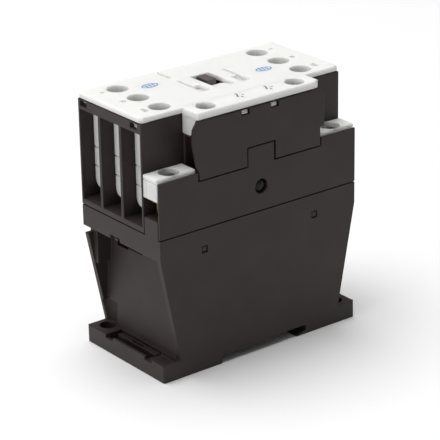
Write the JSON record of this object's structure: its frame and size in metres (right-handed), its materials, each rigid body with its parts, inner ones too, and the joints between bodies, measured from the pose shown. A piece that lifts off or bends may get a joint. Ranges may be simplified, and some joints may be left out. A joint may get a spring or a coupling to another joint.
{
  "type": "din rail contactor",
  "caption": "Block-shaped moulded contactor: dark two-part housing with rail-clip foot, pale front cover with screwdriver holes, deep terminal slots at both ends and a side contact block.",
  "frame": {"origin": "middle of the foot plate's underside, which is also the bottom centre of the whole part", "axes": "+Z away from the rail towards the front cover; X from one row of main terminals to the other, across the rail; Y along the rail, with the auxiliary contact block on the -Y side"},
  "size_m": [0.085, 0.045, 0.093],
  "materials": {
    "dark_plastic": "moulded thermoset, fine satin grain",
    "white_plastic": "moulded thermoplastic, soft satin",
    "brown_plastic": "moulded thermoset, satin",
    "cream_plastic": "moulded thermoplastic, satin",
    "zinc_steel": "bright zinc plated",
    "brass": "stamped, satin",
    "copper": "stamped copper alloy, satin",
    "spring_steel": "drawn wire",
    "laminated_steel": "stacked sheet, ground faces",
    "winding_tape": "varnished tape over the winding",
    "rubber": "moulded rubber"
  },
  "bodies": {
    "housing": {"lower_housing": "dark_plastic", "upper_housing": "dark_plastic", "front_cover": "white_plastic", "aux_housing": "dark_plastic", "aux_cover": "white_plastic", "side_pin": "rubber", "latch_spring": "spring_steel", "coil_cap_left": "white_plastic", "coil_strip_left": "brass", "aux_contact_left": "brass", "shading_ring_left": "copper", "return_spring_left": "spring_steel", "fixed_contact_left_1": "copper", "fixed_contact_left_2": "copper", "fixed_contact_left_3": "copper", "coil_cap_right": "white_plastic", "coil_strip_right": "brass", "aux_contact_right": "brass", "shading_ring_right": "copper", "return_spring_right": "spring_steel", "fixed_contact_right_1": "copper", "fixed_contact_right_2": "copper", "fixed_contact_right_3": "copper", "magnet_core": "laminated_steel", "coil_bobbin": "cream_plastic", "coil_winding": "winding_tape", "magnet_pad": "rubber"},
    "carrier": {"contact_carrier": "brown_plastic", "armature": "laminated_steel", "armature_pin": "zinc_steel", "contact_spring_1": "spring_steel", "contact_spring_2": "spring_steel", "contact_spring_3": "spring_steel", "aux_contact_spring": "spring_steel"},
    "bridge_1": {"moving_bridge_1": "copper"},
    "bridge_2": {"moving_bridge_2": "copper"},
    "bridge_3": {"moving_bridge_3": "copper"},
    "aux_bridge": {"aux_bridge": "brass"},
    "main_screw_left_1": {"main_screw_left_1": "zinc_steel"},
    "main_clamp_left_1": {"main_clamp_left_1": "zinc_steel"},
    "main_screw_left_2": {"main_screw_left_2": "zinc_steel"},
    "main_clamp_left_2": {"main_clamp_left_2": "zinc_steel"},
    "main_screw_left_3": {"main_screw_left_3": "zinc_steel"},
    "main_clamp_left_3": {"main_clamp_left_3": "zinc_steel"},
    "coil_screw_left": {"coil_screw_left": "zinc_steel"},
    "coil_clamp_left": {"coil_clamp_left": "brass"},
    "aux_screw_left": {"aux_screw_left": "zinc_steel"},
    "aux_clamp_left": {"aux_clamp_left": "zinc_steel"},
    "main_screw_right_1": {"main_screw_right_1": "zinc_steel"},
    "main_clamp_right_1": {"main_clamp_right_1": "zinc_steel"},
    "main_screw_right_2": {"main_screw_right_2": "zinc_steel"},
    "main_clamp_right_2": {"main_clamp_right_2": "zinc_steel"},
    "main_screw_right_3": {"main_screw_right_3": "zinc_steel"},
    "main_clamp_right_3": {"main_clamp_right_3": "zinc_steel"},
    "coil_screw_right": {"coil_screw_right": "zinc_steel"},
    "coil_clamp_right": {"coil_clamp_right": "brass"},
    "aux_screw_right": {"aux_screw_right": "zinc_steel"},
    "aux_clamp_right": {"aux_clamp_right": "zinc_steel"},
    "rail_latch": {"rail_latch": "dark_plastic"}
  },
  "joints": [
    {"name": "carrier_slide", "type": "slide", "parent": "housing", "child": "carrier", "axis": [0, 0, -1], "range_m": [0, 0.0055], "stiffness_N_per_m": 400, "springref_m": -0.01, "deforming": ["return_spring_left", "return_spring_right"]},
    {"name": "bridge_1_overtravel", "type": "slide", "parent": "carrier", "child": "bridge_1", "axis": [0, 0, 1], "range_m": [0, 0.0015], "stiffness_N_per_m": 800, "springref_m": -0.004, "deforming": ["contact_spring_1"]},
    {"name": "bridge_2_overtravel", "type": "slide", "parent": "carrier", "child": "bridge_2", "axis": [0, 0, 1], "range_m": [0, 0.0015], "stiffness_N_per_m": 800, "springref_m": -0.004, "deforming": ["contact_spring_2"]},
    {"name": "bridge_3_overtravel", "type": "slide", "parent": "carrier", "child": "bridge_3", "axis": [0, 0, 1], "range_m": [0, 0.0015], "stiffness_N_per_m": 800, "springref_m": -0.004, "deforming": ["contact_spring_3"]},
    {"name": "aux_bridge_overtravel", "type": "slide", "parent": "carrier", "child": "aux_bridge", "axis": [0, 0, 1], "range_m": [0, 0.0015], "stiffness_N_per_m": 300, "springref_m": -0.004, "deforming": ["aux_contact_spring"]},
    {"name": "main_screw_left_1_turn", "type": "hinge", "parent": "housing", "child": "main_screw_left_1", "pos_m": [-0.0303, 0.01638, 0.072], "axis": [0, 0, -1], "range_deg": [0, 2160]},
    {"name": "main_clamp_left_1_lift", "type": "slide", "parent": "housing", "child": "main_clamp_left_1", "axis": [0, 0, 1], "range_m": [0, 0.0042]},
    {"name": "main_screw_left_2_turn", "type": "hinge", "parent": "housing", "child": "main_screw_left_2", "pos_m": [-0.0303, 0.00445, 0.072], "axis": [0, 0, -1], "range_deg": [0, 2160]},
    {"name": "main_clamp_left_2_lift", "type": "slide", "parent": "housing", "child": "main_clamp_left_2", "axis": [0, 0, 1], "range_m": [0, 0.0042]},
    {"name": "main_screw_left_3_turn", "type": "hinge", "parent": "housing", "child": "main_screw_left_3", "pos_m": [-0.0303, -0.00748, 0.072], "axis": [0, 0, -1], "range_deg": [0, 2160]},
    {"name": "main_clamp_left_3_lift", "type": "slide", "parent": "housing", "child": "main_clamp_left_3", "axis": [0, 0, 1], "range_m": [0, 0.0042]},
    {"name": "coil_screw_left_turn", "type": "hinge", "parent": "housing", "child": "coil_screw_left", "pos_m": [-0.0348, -0.0177, 0.07], "axis": [0, 0, -1], "range_deg": [0, 1620]},
    {"name": "coil_clamp_left_lift", "type": "slide", "parent": "housing", "child": "coil_clamp_left", "axis": [0, 0, 1], "range_m": [0, 0.0027]},
    {"name": "aux_screw_left_turn", "type": "hinge", "parent": "housing", "child": "aux_screw_left", "pos_m": [-0.019, -0.0178, 0.089], "axis": [0, 0, -1], "range_deg": [0, 1800]},
    {"name": "aux_clamp_left_lift", "type": "slide", "parent": "housing", "child": "aux_clamp_left", "axis": [0, 0, 1], "range_m": [0, 0.003]},
    {"name": "main_screw_right_1_turn", "type": "hinge", "parent": "housing", "child": "main_screw_right_1", "pos_m": [0.0303, 0.01638, 0.072], "axis": [0, 0, -1], "range_deg": [0, 2160]},
    {"name": "main_clamp_right_1_lift", "type": "slide", "parent": "housing", "child": "main_clamp_right_1", "axis": [0, 0, 1], "range_m": [0, 0.0042]},
    {"name": "main_screw_right_2_turn", "type": "hinge", "parent": "housing", "child": "main_screw_right_2", "pos_m": [0.0303, 0.00445, 0.072], "axis": [0, 0, -1], "range_deg": [0, 2160]},
    {"name": "main_clamp_right_2_lift", "type": "slide", "parent": "housing", "child": "main_clamp_right_2", "axis": [0, 0, 1], "range_m": [0, 0.0042]},
    {"name": "main_screw_right_3_turn", "type": "hinge", "parent": "housing", "child": "main_screw_right_3", "pos_m": [0.0303, -0.00748, 0.072], "axis": [0, 0, -1], "range_deg": [0, 2160]},
    {"name": "main_clamp_right_3_lift", "type": "slide", "parent": "housing", "child": "main_clamp_right_3", "axis": [0, 0, 1], "range_m": [0, 0.0042]},
    {"name": "coil_screw_right_turn", "type": "hinge", "parent": "housing", "child": "coil_screw_right", "pos_m": [0.0348, -0.0177, 0.07], "axis": [0, 0, -1], "range_deg": [0, 1620]},
    {"name": "coil_clamp_right_lift", "type": "slide", "parent": "housing", "child": "coil_clamp_right", "axis": [0, 0, 1], "range_m": [0, 0.0027]},
    {"name": "aux_screw_right_turn", "type": "hinge", "parent": "housing", "child": "aux_screw_right", "pos_m": [0.019, -0.0178, 0.089], "axis": [0, 0, -1], "range_deg": [0, 1800]},
    {"name": "aux_clamp_right_lift", "type": "slide", "parent": "housing", "child": "aux_clamp_right", "axis": [0, 0, 1], "range_m": [0, 0.003]},
    {"name": "latch_slide", "type": "slide", "parent": "housing", "child": "rail_latch", "axis": [-1, 0, 0], "range_m": [0, 0.0032], "stiffness_N_per_m": 800, "springref_m": -0.003, "deforming": ["latch_spring"]}
  ],
  "couplings": [
    {"joint": "main_screw_left_1_turn", "follows": "main_clamp_left_1_lift", "rad_per_m": 8975.9},
    {"joint": "main_screw_left_2_turn", "follows": "main_clamp_left_2_lift", "rad_per_m": 8975.9},
    {"joint": "main_screw_left_3_turn", "follows": "main_clamp_left_3_lift", "rad_per_m": 8975.9},
    {"joint": "coil_screw_left_turn", "follows": "coil_clamp_left_lift", "rad_per_m": 10472},
    {"joint": "aux_screw_left_turn", "follows": "aux_clamp_left_lift", "rad_per_m": 10472},
    {"joint": "main_screw_right_1_turn", "follows": "main_clamp_right_1_lift", "rad_per_m": 8975.9},
    {"joint": "main_screw_right_2_turn", "follows": "main_clamp_right_2_lift", "rad_per_m": 8975.9},
    {"joint": "main_screw_right_3_turn", "follows": "main_clamp_right_3_lift", "rad_per_m": 8975.9},
    {"joint": "coil_screw_right_turn", "follows": "coil_clamp_right_lift", "rad_per_m": 10472},
    {"joint": "aux_screw_right_turn", "follows": "aux_clamp_right_lift", "rad_per_m": 10472}
  ]
}
